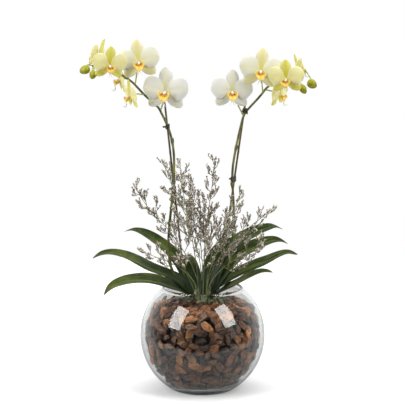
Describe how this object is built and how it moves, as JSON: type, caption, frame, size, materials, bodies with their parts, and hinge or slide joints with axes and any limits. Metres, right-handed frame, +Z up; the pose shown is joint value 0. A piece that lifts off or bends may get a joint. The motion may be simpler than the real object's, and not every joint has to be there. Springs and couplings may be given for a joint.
{
  "type": "potted orchid",
  "caption": "Round clear glass bowl of pine bark planted with a pair of arching moth orchids in cream flower on staked stems, strap leaves spreading over the rim and airy sea lavender sprigs.",
  "frame": {"origin": "centre of the bowl's flat foot, on the surface that it stands on", "axes": "+Z up, +X to the right and -Y to the front, which is the side that the flowers face"},
  "size_m": [0.3743, 0.2, 0.56],
  "materials": {
    "bowl_glass": "clear polished glass",
    "bark": "rough broken bark, slightly damp",
    "crown": "matt grey-green root skin",
    "stake": "dark stained cane",
    "flower_stem": "satin dark green stem",
    "tie": "matt twist tie",
    "leaf": "waxy, half gloss",
    "petal": "soft satin petal",
    "flower_lip": "satin, fleshy",
    "bud": "satin, fleshy",
    "sea_lavender": "dry papery flowers on a wiry stem"
  },
  "bodies": {
    "root": {"glass_bowl": "bowl_glass", "bark_bed": "bark", "left_crown_and_roots": "crown", "left_stake": "stake", "left_flower_stem": "flower_stem", "left_tie_1": "tie", "left_tie_2": "tie", "right_crown_and_roots": "crown", "right_stake": "stake", "right_flower_stem": "flower_stem", "right_tie_1": "tie", "right_tie_2": "tie", "left_leaf_back": "leaf", "left_leaf_middle": "leaf", "left_leaf_front": "leaf", "left_leaf_short": "leaf", "right_leaf_back": "leaf", "right_leaf_middle": "leaf", "right_leaf_side": "leaf", "right_leaf_front": "leaf", "right_leaf_short": "leaf", "left_flower_1_lip": "flower_lip", "left_flower_1_petals": "petal", "left_flower_2_lip": "flower_lip", "left_flower_2_petals": "petal", "left_flower_3_lip": "flower_lip", "left_flower_3_petals": "petal", "left_flower_4_lip": "flower_lip", "left_flower_4_petals": "petal", "left_flower_5_lip": "flower_lip", "left_flower_5_petals": "petal", "left_flower_6_lip": "flower_lip", "left_flower_6_petals": "petal", "right_flower_1_lip": "flower_lip", "right_flower_1_petals": "petal", "right_flower_2_lip": "flower_lip", "right_flower_2_petals": "petal", "right_flower_3_lip": "flower_lip", "right_flower_3_petals": "petal", "right_flower_4_lip": "flower_lip", "right_flower_4_petals": "petal", "right_flower_5_lip": "flower_lip", "right_flower_5_petals": "petal", "left_bud_1": "bud", "left_bud_2": "bud", "right_bud_1": "bud", "right_bud_2": "bud", "right_bud_3": "bud", "sea_lavender_1": "sea_lavender", "sea_lavender_2": "sea_lavender", "sea_lavender_3": "sea_lavender", "sea_lavender_4": "sea_lavender", "sea_lavender_5": "sea_lavender", "sea_lavender_6": "sea_lavender", "sea_lavender_7": "sea_lavender", "sea_lavender_8": "sea_lavender", "sea_lavender_9": "sea_lavender", "sea_lavender_10": "sea_lavender", "sea_lavender_11": "sea_lavender", "sea_lavender_12": "sea_lavender"}
  },
  "joints": []
}
